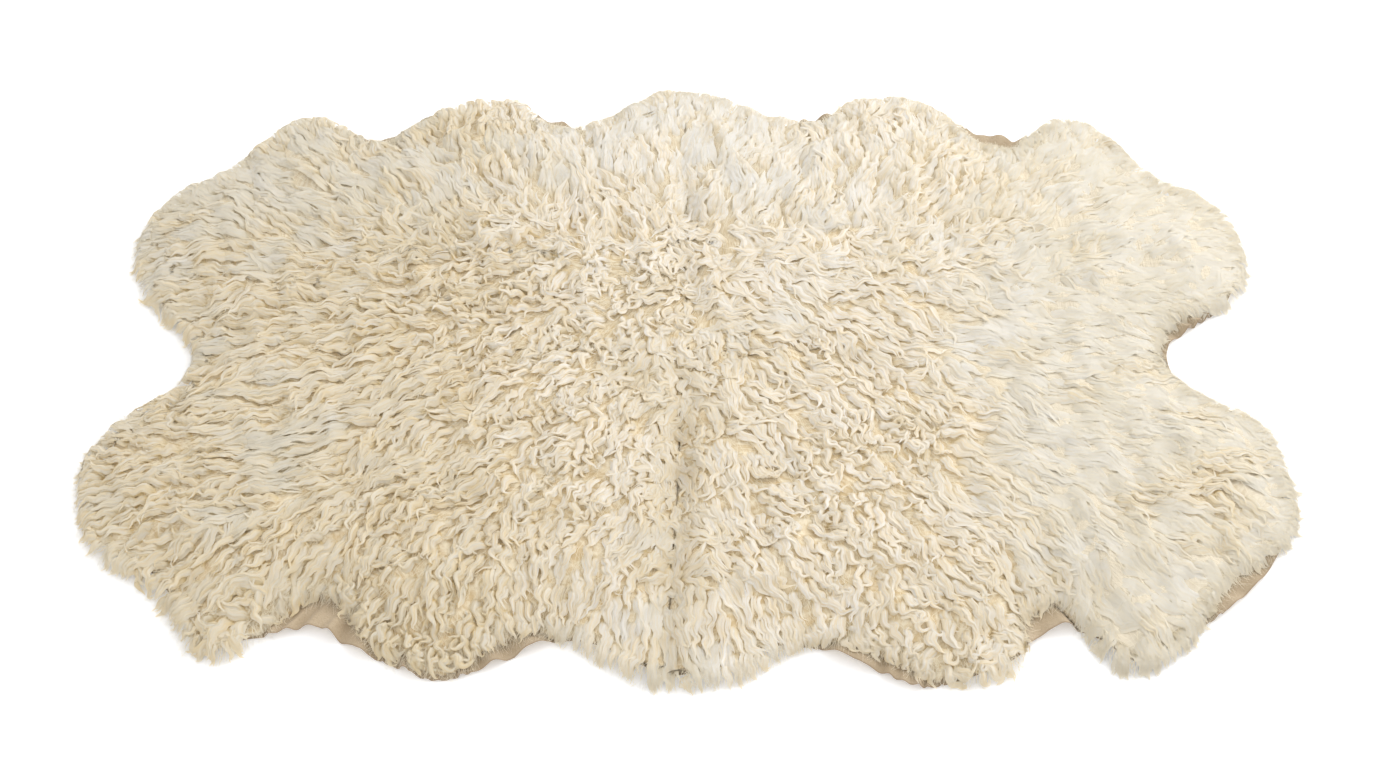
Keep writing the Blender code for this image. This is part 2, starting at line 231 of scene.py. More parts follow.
class Wire:
    """A value on its way through a material's nodes. Sums and products of wires add Math nodes."""

    tree = None

    def __init__(self, socket):
        self.socket = socket

    @classmethod
    def node(cls, kind, inputs, output=0, **settings):
        """Adds any node: its settings first, then the values or wires of its inputs."""
        made = cls.tree.nodes.new(kind)
        for name, value in settings.items():
            setattr(made, name, value)
        for name, value in inputs.items():
            if isinstance(value, Wire):
                cls.tree.links.new(value.socket, made.inputs[name])
            else:
                made.inputs[name].default_value = value
        return cls(made.outputs[output]) if made.outputs else None

    def _math(self, operation, first, second):
        return Wire.node("ShaderNodeMath", {0: first, 1: second}, operation=operation)

    def __add__(self, other):
        return self._math("ADD", self, other)

    def __radd__(self, other):
        return self._math("ADD", other, self)

    def __mul__(self, other):
        return self._math("MULTIPLY", self, other)

    def __rmul__(self, other):
        return self._math("MULTIPLY", other, self)


def new_finish(name):
    """An empty material, whose nodes the next wires add to."""
    finish = bpy.data.materials.new(name)
    finish.use_nodes = True
    finish.node_tree.nodes.clear()
    Wire.tree = finish.node_tree
    return finish


def kept(name, part="Vector"):
    """What mark() has kept on the piece."""
    return Wire.node("ShaderNodeAttribute", {}, output=part, attribute_name=name)


def part_of(vector, number):
    """One of a vector's three parts."""
    return Wire.node("ShaderNodeSeparateXYZ", {0: vector}, output=number)


def noise(place, scale, detail=2.0, roughness=0.5):
    """Cloudy noise from 0 to 1 at a place given in metres; its clouds are about 1 / scale apart."""
    inputs = {"Vector": place, "Scale": scale, "Detail": detail, "Roughness": roughness}
    return Wire.node("ShaderNodeTexNoise", inputs)


def span(value, low, high, to_low=0.0, to_high=1.0):
    """The value's share of the way from low to high, kept between the ends."""
    inputs = {"Value": value, "From Min": low, "From Max": high, "To Min": to_low, "To Max": to_high}
    return Wire.node("ShaderNodeMapRange", inputs)


def blend(share, first, second):
    """A colour between two."""
    colours = {6: first if isinstance(first, Wire) else (*first, 1),
               7: second if isinstance(second, Wire) else (*second, 1)}
    return Wire.node("ShaderNodeMix", {0: share, **colours}, output=2, data_type="RGBA")


def stretch(vector, scales):
    """A vector with each part multiplied by its own number."""
    return Wire.node("ShaderNodeVectorMath", {0: vector, 1: scales}, operation="MULTIPLY")


def leaning(share, first, second):
    """A direction between two."""
    mixed = Wire.node("ShaderNodeMix", {0: share, 4: first, 5: second}, output=1, data_type="VECTOR")
    return Wire.node("ShaderNodeVectorMath", {0: mixed}, operation="NORMALIZE")


def raised(height, distance, strength=1.0):
    """The normal of a surface that a height from 0 to 1 raises by up to distance, in metres."""
    inputs = {"Height": height, "Distance": distance, "Strength": strength}
    return Wire.node("ShaderNodeBump", inputs)


def finish_with(lets_through=0.0, glow=(1.0, 1.0, 1.0), **inputs):
    """Ends a material in one skin whose inputs are given by name.

    It lets a share of the light through, which then has the colour glow.
    """
    named = {name.replace("_", " "): value for name, value in inputs.items()}
    skin = Wire.node("ShaderNodeBsdfPrincipled", named)
    if lets_through:
        behind = Wire.node("ShaderNodeBsdfTranslucent", {"Color": (*glow, 1)})
        skin = Wire.node("ShaderNodeMixShader", {0: lets_through, 1: skin, 2: behind})
    Wire.node("ShaderNodeOutputMaterial", {"Surface": skin})


def skin_fold(inset, lift, bare):
    """How high the skin is off the floor at a distance inside its edge: lift (1 - inset / length)^power.

    The power is 1.32 at a bare edge and 1.82 under wool.
    """
    return np.clip(1 - inset / RUFFLE_LENGTH, 0, 1) ** (1.82 - 0.5 * bare) * lift


TAN = (0.40, 0.305, 0.19)
PALE_TAN = (0.54, 0.43, 0.295)
PORES = (0.36, 0.27, 0.17)
CUT_EDGE = (0.28, 0.19, 0.11)

leather = new_finish("tanned sheepskin leather")
place = Wire.node("ShaderNodeTexCoord", {}, output="Object")
from_edge = kept("from_edge", "Fac")
pebbles = Wire.node("ShaderNodeTexVoronoi", {"Vector": place, "Scale": 520.0}, feature="SMOOTH_F1")
creases = noise(place, 45.0, 4.0, 0.6)
stain = noise(place, 14.0, 3.0, 0.6)
skin = blend(span(stain, 0.3, 0.72), TAN, PALE_TAN)
skin = blend(span(pebbles, 0.30, 0.70) * 0.45, skin, PORES)
skin = blend(span(from_edge, 0.0030, 0.0006) * 0.6, skin, CUT_EDGE)
relief = raised(pebbles * -0.7 + creases, 0.0014, 0.8)
finish_with(Base_Color=skin, Roughness=span(stain, 0.2, 0.8, 0.55, 0.75), Normal=relief,
            Sheen_Weight=0.15, Sheen_Roughness=0.5)

hide_reach = {}
hide_lift = {}
hide_bare = {}
wool_reach = {}
for pelt in PELTS:
    middle = pelt_middle(pelt)
    reach, edge_height = packed_outline("hide_" + pelt, middle)
    hide_reach[pelt] = reach
    rim = middle + reach[:, None] * np.stack((np.cos(ROUND), np.sin(ROUND)), -1)
    seam_gap = from_seams(rim[:, 0], rim[:, 1])
    wool_reach[pelt] = wool_edge(rim, reach, packed_outline("fleece_" + pelt, middle)[0], seam_gap)
    bare = ease((reach - wool_reach[pelt] - 0.002) / 0.010) * ease((seam_gap - 0.02) / 0.03)
    lift = ruffled(rim, smooth_round(np.clip(edge_height - HALF_HIDE, 0, None), 0.8), bare)
    hide_lift[pelt], hide_bare[pelt] = lift, bare
    across = np.clip(reach[:, None] - INSET, 0.02, None)
    x = middle[0] + across * np.cos(ROUND)[:, None]
    y = middle[1] + across * np.sin(ROUND)[:, None]
    share = np.clip(1 - INSET / RUFFLE_LENGTH, 0, 1)
    fold = skin_fold(INSET, lift[:, None], bare[:, None])
    fold = fold + bare[:, None] * share * 0.0010 * (1 + drift(x, y, 0.02, 4))
    ridge = SEAM_RIDGE * np.exp(-(from_seams(x, y) / SEAM_RIDGE_WIDTH) ** 2)
    z = HALF_HIDE + OFF_FLOOR + fold + ridge + SIDE * HALF_HIDE
    piece = surface_mesh("leather_" + pelt, np.stack((x, y, z), -1)[None], closed=True, capped=True)
    mark(piece, "from_edge", np.broadcast_to(INSET, x.shape)[..., None])
    turn = np.broadcast_to((ROUND / (2 * math.pi))[:, None], x.shape)
    lay_out(piece, turn, np.broadcast_to(np.linspace(0.01, 0.99, len(INSET)), x.shape))
    piece.data.materials.append(leather)
    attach(piece, "root")
    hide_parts("hide_" + pelt)


# --- The seams ----------------------------------------------------------------------------------------
# The pelts are joined edge to edge with a waxed thread overcast on the flesh side, a stitch every 7 mm
# or so along the cross seam and the centre seam, pressed flat against the leather.

STITCH_PITCH = 0.007
STITCH_SPAN = 0.0042
STITCH_SLANT = 0.0014
THREAD = 0.00035

thread = new_finish("waxed thread")
place = Wire.node("ShaderNodeTexCoord", {}, output="Object")
finish_with(Base_Color=blend(noise(place, 900.0), (0.72, 0.64, 0.50), (0.84, 0.78, 0.66)), Roughness=0.6,
            Normal=raised(noise(place, 2600.0), 0.0002))


def overcast(start, end):
    """Stitches along a seam from start to end: each a thin round thread laid slantwise over the join.

    Its middle line runs from one side to the other, and its section is a four-sided ring that closes to
    almost nothing at both ends, where the thread goes into the leather.
    """
    start, end = np.array(start), np.array(end)
    length = np.linalg.norm(end - start)
    along = (end - start) / length
    side = np.array((-along[1], along[0]))
    number = np.arange(int(length / STITCH_PITCH))
    step = np.linspace(-1, 1, 4)
    ring = np.arange(4) * math.pi / 2
    centre = start + along * ((number[:, None, None] + 0.5) * STITCH_PITCH + step[:, None] * STITCH_SLANT)
    centre = centre + side * step[:, None] * STITCH_SPAN
    size = THREAD * np.sqrt(np.clip(1.02 - step ** 2, 0, None))
    points = np.empty((len(number), 4, 4, 3))
    points[..., :2] = centre[:, None] + along * (np.cos(ring)[:, None, None] * size[:, None])
    points[..., 2] = THREAD + OFF_FLOOR - np.sin(ring)[:, None] * size
    return points


seam_points = np.concatenate((
    overcast((-0.76, 0.0), (0.76, 0.0)),
    overcast((0.0, 0.0), (0.0, 0.52)),
    overcast((0.0, 0.0), (-0.026, -0.52)),
))
stitches = surface_mesh("seam_stitches", seam_points, closed=True)
stitches.data.materials.append(thread)
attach(stitches, "root")


# --- The fleeces' ground ------------------------------------------------------------------------------
# Under the locks the wool stands so close that it reads as one soft golden body, its gold partly the wool's
# own and partly painted shade for the gaps between locks. It is 4 to 7 mm lower than the wool's top, thins
# out to the skin at the rim, and sinks along the front half of the centre seam.

# Heights and ways are kept on cells of the floor under and round the rug.
CELL = 0.005
FLOOR_X = np.arange(-1.02, 1.02, CELL)
FLOOR_Y = np.arange(-0.66, 0.66, CELL)

# How far the ground is under the wool's top, and how much less that is where the wool is silky.
GROUND_DROP = 0.0066
SILKY_RISE = 0.0022

# How far the ground laps over a seam, how much less it reaches at the rug's rim, and how high its edge and
# its underside are.
GROUND_LAP = 0.0012
GROUND_INSET = 0.0055
GROUND_EDGE = 0.003
UNDERSIDE = 0.0023
GROUND_AROUND = 300

# The wool's height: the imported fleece's points from PEAKS_FROM up, kept between a lowest and a highest.
PEAKS_FROM = 0.024
PEAK_SPREAD = 0.015
PILE_LOW = 0.026
PILE_HIGH = 0.066
LUMP_HEIGHT = 0.0055
LUMP_SIZE = 0.045
VALLEY_DEPTH = 0.010
VALLEY_WIDTH = 0.020
CLOSED_HEIGHT = 0.009
CLOSED_WIDTH = 0.03
BACK_HEIGHT = 0.007

# How strongly the rim draws the wool outwards, and within what distance a listed way holds fully.
PULL = 0.09
LAY_REACH = 0.04


def blurred(field, spread):
    """A field on the floor's cells, each the bell-weighted mean of those within about spread metres."""
    rate_y = np.fft.fftfreq(field.shape[0], CELL)[:, None]
    rate_x = np.fft.rfftfreq(field.shape[1], CELL)
    bell = np.exp(-2 * (math.pi * spread) ** 2 * (rate_x ** 2 + rate_y ** 2))
    return np.fft.irfft2(np.fft.rfft2(field) * bell, field.shape)


def at(field, x, y):
    """A field's value between the four cells round a place, each weighted by how near it is."""
    column = np.clip((x - FLOOR_X[0]) / CELL, 0, len(FLOOR_X) - 1.001)
    row = np.clip((y - FLOOR_Y[0]) / CELL, 0, len(FLOOR_Y) - 1.001)
    i, j = row.astype(int), column.astype(int)
    up, right = row - i, column - j
    low = field[i, j] * (1 - right) + field[i, j + 1] * right
    high = field[i + 1, j] * (1 - right) + field[i + 1, j + 1] * right
    return low * (1 - up) + high * up


def within(pelt, x, y, inset=0.0):
    """Whether a place is nearer its pelt's middle than the wool's outline is in its direction."""
    middle = pelt_middle(pelt)
    turn = np.arctan2(y - middle[1], x - middle[0])
    edge = np.interp(turn, ROUND, wool_reach[pelt], period=2 * math.pi)
    return np.hypot(x - middle[0], y - middle[1]) < edge - inset


cells_x, cells_y = np.meshgrid(FLOOR_X, FLOOR_Y)
covered, pile, skin_top = np.zeros((3, *cells_x.shape))
for pelt in PELTS:
    middle = pelt_middle(pelt)
    turn = np.arctan2(cells_y - middle[1], cells_x - middle[0])
    edge, lift, bare = (np.interp(turn, ROUND, values, period=2 * math.pi)
                        for values in (hide_reach[pelt], hide_lift[pelt], hide_bare[pelt]))
    inset = edge - np.hypot(cells_x - middle[0], cells_y - middle[1])
    fold = skin_fold(np.clip(inset, 0, None), lift, bare) + 2 * HALF_HIDE
    skin_top = np.maximum(skin_top, np.where(inset > -0.008, fold, 0))
    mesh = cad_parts["fleece_" + pelt].data
    peaks = np.empty(len(mesh.vertices) * 3)
    mesh.vertices.foreach_get("co", peaks)
    peaks = peaks.reshape(-1, 3)
    peaks = peaks[peaks[:, 2] > PEAKS_FROM]
    mine = within(pelt, cells_x, cells_y, -0.002) & (covered == 0)
    x, y = cells_x[mine][:, None], cells_y[mine][:, None]
    gap = (x - peaks[:, 0]) ** 2 + (y - peaks[:, 1]) ** 2
    weight = np.exp(-gap / (2 * PEAK_SPREAD ** 2)) + 1e-12
    pile[mine] = (weight * peaks[:, 2]).sum(1) / weight.sum(1)
    covered[mine] = 1

# The pile's height holds up to the rim and rounds over there, and is a little more along the back. Along the
# cross seam the wool closes up, and along the front half of the centre seam it parts over a valley.
cover = blurred(covered, 0.007)
near_rim = blurred(covered, 0.018)
height = blurred(pile, 0.008) / np.clip(cover, 0.3, None)
height = np.clip(height, PILE_LOW, PILE_HIGH)
height = height + CLOSED_HEIGHT * np.exp(-(cells_y / CLOSED_WIDTH) ** 2)
valley = np.exp(-(beside_centre_seam(cells_x, cells_y) / VALLEY_WIDTH) ** 2) * ease((-0.08 - cells_y) / 0.12)
lumps = drift(cells_x, cells_y, LUMP_SIZE, 5)
height = np.clip(height + LUMP_HEIGHT * lumps - VALLEY_DEPTH * valley, 0, 0.064)
height = height + BACK_HEIGHT * ease((cells_y - 0.30) / 0.20)
roundness = np.clip((near_rim - 0.45 + 0.14 * ease((cells_y - 0.10) / 0.30)) / 0.55, 0, 1)
height = height * np.sqrt(1 - (1 - roundness) ** 2)
height = blurred(height, 0.004)

# How the wool lies, place by place: metres along the rug and towards its back, the way its tips point in
# degrees from the length, and how curly it is, from straight at 0 to popcorn curls at 1.
LAY = np.array((
    (-0.86, 0.21, 180, 0.30), (-0.73, 0.36, 145, 0.25), (-0.60, 0.41, 125, 0.30),
    (-0.63, 0.24, 160, 0.30), (-0.44, 0.32, 125, 0.30), (-0.35, 0.49, 95, 0.55), (-0.21, 0.36, 100, 0.30),
    (-0.08, 0.47, 92, 0.30), (-0.14, 0.24, 110, 0.50), (0.03, 0.50, 88, 0.30), (0.09, 0.34, 78, 0.30),
    (0.11, 0.09, 318, 0.30), (0.24, 0.34, 80, 0.40), (0.36, 0.49, 85, 0.50), (0.45, 0.30, 60, 0.50),
    (0.63, 0.43, 65, 0.30), (0.73, 0.28, 28, 0.15), (0.87, 0.17, 5, 0.10), (0.66, 0.09, 350, 0.15),
    (0.46, 0.03, 335, 0.20), (0.32, 0.05, 330, 0.50), (-0.04, 0.11, 225, 1.00), (-0.20, 0.11, 205, 0.80),
    (-0.35, 0.09, 205, 0.80), (-0.49, 0.11, 188, 0.50), (-0.72, 0.05, 190, 0.40),
    (-0.60, -0.06, 190, 0.40), (-0.41, -0.08, 205, 0.40), (-0.14, -0.08, 230, 0.80),
    (-0.04, -0.12, 245, 0.70), (0.02, -0.08, 300, 0.50), (0.17, -0.06, 320, 0.70),
    (-0.84, -0.19, 185, 0.45), (-0.85, -0.32, 200, 0.45), (-0.73, -0.25, 192, 0.55),
    (-0.59, -0.19, 200, 0.20), (-0.43, -0.25, 220, 0.50), (-0.68, -0.42, 225, 0.50),
    (-0.66, -0.51, 240, 0.50), (-0.56, -0.38, 240, 0.50), (-0.45, -0.38, 250, 0.70),
    (-0.37, -0.51, 265, 1.00), (-0.27, -0.38, 250, 0.60), (-0.19, -0.25, 235, 0.80),
    (-0.13, -0.42, 262, 0.40), (-0.07, -0.51, 265, 0.30), (-0.05, -0.35, 235, 0.40),
    (0.02, -0.19, 310, 0.60), (0.03, -0.38, 300, 0.50), (0.00, -0.56, 270, 0.30),
    (0.10, -0.48, 282, 0.40), (0.17, -0.25, 300, 0.90), (0.29, -0.16, 300, 1.00),
    (0.25, -0.38, 285, 0.80), (0.36, -0.52, 280, 0.95), (0.40, -0.28, 320, 0.40),
    (0.55, -0.19, 330, 0.20), (0.70, -0.14, 345, 0.20), (0.85, -0.19, 0, 0.20), (0.89, -0.32, 350, 0.20),
    (0.76, -0.25, 335, 0.65), (0.68, -0.02, 345, 0.35), (0.60, 0.22, 30, 0.35), (0.75, -0.38, 325, 0.25),
    (0.60, -0.38, 315, 0.25), (0.66, -0.51, 300, 0.25), (0.46, -0.45, 300, 0.60),
))
fall_y, fall_x = np.gradient(near_rim, CELL)


def wool_lies(x, y, pull=PULL):
    """The way the wool's tips point at a place, and how curly it is.

    The way is the mean of the listed ways, weighted by 1 / (distance^2 + LAY_REACH^2)^1.5, plus a pull out
    over the rim that grows where the covered floor ends.
    """
    gap = (x[:, None] - LAY[:, 0]) ** 2 + (y[:, None] - LAY[:, 1]) ** 2
    weight = (gap + LAY_REACH ** 2) ** -1.5
    weight = weight / weight.sum(1, keepdims=True)
    ways = np.radians(LAY[:, 2])
    east = weight @ np.cos(ways) - pull * at(fall_x, x, y)
    north = weight @ np.sin(ways) - pull * at(fall_y, x, y)
    return np.arctan2(north, east), weight @ LAY[:, 3]


def down_the_lie(east, north):
    """How far down the lie of the wool each floor cell is, in metres.

    It is the field whose slope comes nearest to the unit ways: for each plane wave, of rate k, that is
    -i (k . way) / k^2.
    """
    rate_y = 2 * math.pi * np.fft.fftfreq(len(FLOOR_Y), CELL)[:, None]
    rate_x = 2 * math.pi * np.fft.rfftfreq(len(FLOOR_X), CELL)
    slope = rate_x * np.fft.rfft2(east) + rate_y * np.fft.rfft2(north)
    return np.fft.irfft2(-1j * slope / (rate_x ** 2 + rate_y ** 2 + 1e-9), east.shape)


def parting(x, y, step=0.02):
    """How fast the ways spread apart: the slope of their x along x, plus that of their y along y."""
    return (np.cos(wool_lies(x + step, y)[0]) - np.cos(wool_lies(x - step, y)[0])
            + np.sin(wool_lies(x, y + step)[0]) - np.sin(wool_lies(x, y - step)[0])) / (2 * step)


def softness(x, y, curl):
    """How silky the wool is: all of it at the right end, less so along the back, never where it curls."""
    silky = np.maximum(ease((x - 0.22 + 0.10 * drift(x, y, 0.2, 12)) / 0.36), 0.5 * ease((y - 0.14) / 0.16))
    return silky * (1 - ease((curl - 0.25) / 0.35))


lie, curls = wool_lies(cells_x.ravel(), cells_y.ravel())
lie, curls = lie.reshape(cells_x.shape), curls.reshape(cells_x.shape)
soft = softness(cells_x, cells_y, curls)
drop = GROUND_DROP - SILKY_RISE * soft
downhill, sideways = down_the_lie(np.cos(lie), np.sin(lie)), down_the_lie(-np.sin(lie), np.cos(lie))

# The ground shows only in the gaps between locks: its gold is partly the wool's own near the skin and partly
# painted shade for those gaps.
SHADED_ROOT_GOLD = (0.64, 0.49, 0.28)
GROUND_CREAM = (0.85, 0.75, 0.56)
SILKY_GROUND = (0.71, 0.64, 0.51)

ground_wool = new_finish("wool near the skin")
place = Wire.node("ShaderNodeTexCoord", {}, output="Object")
tufts = noise(place, 130.0, 3.0, 0.6)
lie_kept = kept("lie")
strands = noise(stretch(lie_kept, (60.0, 1100.0, 0.0)), 1.0, 3.0, 0.6)
wool = blend(span(tufts * 0.35 + strands * 0.65, 0.42, 0.60), SHADED_ROOT_GOLD, GROUND_CREAM)
wool = blend(part_of(lie_kept, 2) * 0.85, wool, SILKY_GROUND)
finish_with(Base_Color=wool, Roughness=0.85, Normal=raised(tufts * 0.4 + strands, 0.003), Sheen_Weight=0.2)

# The ground's section runs out along its underside, up at its edge and in over its top: shares of its reach.
RINGS = np.concatenate(((0.3, 0.7, 1.0, 0.985), np.linspace(0.96, 0.04, 24)))

for pelt in PELTS:
    middle = pelt_middle(pelt)
    turn = np.arange(GROUND_AROUND) * 2 * math.pi / GROUND_AROUND
    reach = np.interp(turn, ROUND, np.minimum(wool_reach[pelt], hide_reach[pelt]), period=2 * math.pi)
    rim = middle + reach[:, None] * np.stack((np.cos(turn), np.sin(turn)), -1)
    outer = ease((from_seams(rim[:, 0], rim[:, 1]) - 0.01) / 0.03)
    reach = reach + GROUND_LAP - GROUND_INSET * outer
    across = reach[:, None] * RINGS
    x = middle[0] + across * np.cos(turn)[:, None]
    y = middle[1] + across * np.sin(turn)[:, None]
    top = np.clip(at(height - drop, x, y) + 0.0015 * drift(x, y, 0.03, 6), at(skin_top, x, y) + 0.002, None)
    z = np.where(np.arange(len(RINGS)) < 2, UNDERSIDE, top)
    z[:, 2] = top[:, 3] * (1 - outer) + GROUND_EDGE * outer
    piece = surface_mesh("ground_wool_" + pelt, np.stack((x, y, z), -1)[None], closed=True, capped=True)
    lay_out(piece, np.broadcast_to((turn / (2 * math.pi))[:, None], x.shape),
            np.broadcast_to(np.linspace(0.01, 0.99, len(RINGS)), x.shape))
    mark(piece, "lie", np.stack((at(downhill, x, y), at(sideways, x, y), at(soft, x, y)), -1))
    piece.data.materials.append(ground_wool)
    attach(piece, "root")
    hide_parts("fleece_" + pelt)


# --- The locks ----------------------------------------------------------------------------------------
# A fleece grows in locks: flat bundles of fibre 50 to 80 mm long and 10 to 15 mm wide that stay together
# to their tips, wave as one and lie over each other like shingles, golden at the root, cream at the tip.
# The root's gold is partly the wool's own and partly painted shade near the skin.

# A lock is this many ribbons, each drawn through this many places on the way to its tip.
FIBRES = 4
STATIONS = 16
TO_TIP = np.linspace(0, 1, STATIONS)

# How far apart locks grow, a straight lock's length and half its width, and half a ribbon's width.
LOCK_SPACING = 0.0192
LOCK_LENGTH = 0.076
LOCK_HALF = 0.0068
RIBBON_HALF = 0.0020

# How far its middle stands over the lowest wool, and how long a wave of it is.
LOCK_LIFT = 0.0062
RIPPLE = 0.023
TUFT_SPACING = 0.046
TUFT_HALF = 0.024


def staggered(row, spacing, stray, chance):
    """Places about spacing apart, in rows of which every other one is half a spacing further along.

    Each place strays by about stray both ways.
    """
    x, y = np.meshgrid(row * spacing, row * spacing * 0.87)
    x = x + (np.arange(len(row)) % 2)[:, None] * spacing / 2
    x = x.ravel() + chance.normal(0, stray, x.size)
    return x, y.ravel() + chance.normal(0, stray, y.size)


# Locks hang together in tufts, which wave, lean and curl as one: every lock belongs to the nearest tuft.
chance = np.random.default_rng(15)
tuft_x, tuft_y = staggered(np.arange(-26, 27), TUFT_SPACING, 0.011, chance)
tuft_phase = chance.uniform(0, 2 * math.pi, tuft_x.size)
tuft_ripple = chance.uniform(0.85, 1.40, tuft_x.size)
tuft_turn = chance.normal(0, 0.20, tuft_x.size)
tuft_spin = np.where(chance.random(tuft_x.size) < 0.5, -1, 1) * chance.uniform(1.5, 7.0, tuft_x.size)
tuft_rise = chance.uniform(-1, 1, tuft_x.size)


def combed(x, y, length, turn, wave, ripple, phase, spin, stop, pull, stations):
    """Middle lines of locks combed over the fleece: each a walk of equal steps on the wool's top.

    A step goes the way the wool lies there, turned by the lock's own turn, by wave * (sin a + 0.45 sin b),
    where a is 2 pi t length / ripple + phase and b has 0.62 of that ripple and 1.7 times that phase, and by
    spin * t^3, which rolls the tip up. It is shorter where the fleece falls away. A lock that would pass the
    rim, where the cover is less than its stop, is walked again, shortened to end there. Gives x, y, the way
    and the way without its wave.
    """
    first_x, first_y = x, y
    for walk in range(2):
        x, y = first_x, first_y
        lines = np.empty((4, len(x), stations))
        for station in range(stations):
            t = station / (stations - 1)
            plain = wool_lies(x, y, pull)[0] + turn
            swing = np.sin(2 * math.pi * t * length / ripple + phase)
            swing = swing + 0.45 * np.sin(2 * math.pi * t * length / (0.62 * ripple) + 1.7 * phase)
            way = plain + wave * swing + spin * t ** 3
            lines[:, :, station] = x, y, way, plain
            ahead_x, ahead_y = x + 0.004 * np.cos(way), y + 0.004 * np.sin(way)
            slope = (at(height, ahead_x, ahead_y) - at(height, x, y)) / 0.004
            step = length / (stations - 1) / np.sqrt(1 + slope ** 2)
            x, y = x + step * np.cos(way), y + step * np.sin(way)
        past = at(cover, lines[0], lines[1]) < stop[:, None]
        end = np.where(past.any(1), past.argmax(1) - 0.5, stations - 1) / (stations - 1)
        spin = spin * np.clip(end, 0.15, 1)
        length = length * np.clip(end, 0.15, 1)
    return lines, length


def per_ribbon(values):
    """A value of each lock, once for each of its ribbons."""
    return np.repeat(values, FIBRES)[:, None]


def split(lines, chance):
    """Each lock's middle line, once for each of its ribbons, which end at 70 to 100% of its length."""
    extent = chance.uniform(0.70, 1.0, (lines.shape[1] * FIBRES, 1)) * TO_TIP * (STATIONS - 1)
    station = np.minimum(extent.astype(int), STATIONS - 2)
    lines = np.repeat(lines, FIBRES, axis=1)
    here = np.take_along_axis(lines, station[None], 2)
    return here + (np.take_along_axis(lines, station[None] + 1, 2) - here) * (extent - station)


def ribbons(lines, seat, half_width, lift, crown, wide, roll):
    """Flat ribbons of fibre beside their locks' middle lines.

    A ribbon's own line is seat * wide to the left of the lock's plain way, and its edges are half_width to
    each side of the way it goes. At share u of the lock's width it is crown (1 - u^2) higher than the lift,
    and its left edge is roll * half_width higher than its middle.
    """
    x, y, way, plain = lines
    side = np.array((-1.0, 1.0)) * half_width[..., None]
    points = np.empty((*x.shape, 2, 3))
    points[..., 0] = (x - np.sin(plain) * seat * wide)[..., None] - np.sin(way)[..., None] * side
    points[..., 1] = (y + np.cos(plain) * seat * wide)[..., None] + np.cos(way)[..., None] * side
    tall = at(height, points[..., 0], points[..., 1])
    low = np.maximum(tall - GROUND_DROP - 0.002, 0.25 * tall)
    low = np.maximum(low, at(skin_top, points[..., 0], points[..., 1]) + 0.001)
    share = seat[..., None] + side / wide[..., None]
    rise = lift[..., None] + crown[..., None] * (1 - share ** 2) + roll[..., None] * side
    room = np.clip(tall / 0.02, 0.25, 1)
    points[..., 2] = np.clip(low + rise * room, 0.0012, 0.078)
    return points


# The fleece's own slope, eased where it is steep, because light comes through the wool at the rim.
swell_y, swell_x = np.gradient(blurred(height, 0.006), CELL)
steep = 1 + 2.0 * np.hypot(swell_x, swell_y)
swell_x, swell_y = swell_x / steep, swell_y / steep


def keep_values(piece, points, t, lock_of, along, across, rough, depth_shade, own, warmth_and_shade):
    """Keeps what the wool's material reads at every point: place in the lock, place in the strand, and tone
    with painted shade.

    swell is the way the fleece faces there: (-slope in x, -slope in y, 1), made 1 long.
    """
    values = np.empty(points.shape)
    values[..., 0] = along
    values[..., 1] = across
    values[..., 2] = lock_of
    mark(piece, "fibre", values)
    values[..., 0] = np.array((-1.0, 1.0))
    values[..., 1] = t[:, None]
    values[..., 2] = rough
    mark(piece, "strand", values)
    values[..., 0] = depth_shade
    values[..., 1] = own
    values[..., 2] = warmth_and_shade
    mark(piece, "tone_and_shade", values)
    x, y = points[..., 0], points[..., 1]
    values[..., 0], values[..., 1], values[..., 2] = -at(swell_x, x, y), -at(swell_y, x, y), 1
    mark(piece, "swell", values / np.linalg.norm(values, axis=-1, keepdims=True))
    # The map lays the ribbons side by side in columns and rows.
    columns = int(math.sqrt(len(points) / 2)) + 1
    rows = -(-len(points) // columns)
    index = np.arange(len(points))[:, None, None]
    lay_out(piece, (index % columns + 0.08 + 0.84 * t[:, None] + np.zeros(2)) / columns,
            (index // columns + np.array((0.14, 0.86)) + np.zeros((len(t), 1))) / rows)


# The warmer cream and the golds are partly the wool's own tone and partly painted shade.
WHITE_CREAM = (0.98, 0.968, 0.938)
WARM_SHADED_CREAM = (0.825, 0.785, 0.685)
PALE_GOLD = (0.88, 0.77, 0.54)
GOLD = (0.84, 0.65, 0.32)
SILK = (0.84, 0.77, 0.64)
THROUGH_WOOL = (0.98, 0.945, 0.87)

locks_wool = new_finish("wool locks")
fibre = kept("fibre")
strand, tone_and_shade = kept("strand"), kept("tone_and_shade")
side, to_tip, rough = part_of(strand, 0), part_of(strand, 1), part_of(strand, 2)
depth_shade, own, warmth_and_shade = part_of(tone_and_shade, 0), part_of(tone_and_shade, 1), part_of(tone_and_shade, 2)
streaks = noise(stretch(fibre, (26.0, 430.0, 31.0)), 1.0, 3.0, 0.6)
shed = side * side
# The cream is warmer and darker where the wool is more golden, partly its own tone and partly painted shade.
cream = blend(warmth_and_shade, WHITE_CREAM, WARM_SHADED_CREAM)
gold = blend(rough, PALE_GOLD, GOLD)
# Gold near the root, partly the wool's own tone and partly painted shade.
wool = blend(span(to_tip, 0.0, 0.30, 0.70, 0.0), cream, gold)
# Painted shade in the wool's hollows and at its rim.
wool = blend(depth_shade * 0.9, wool, gold)
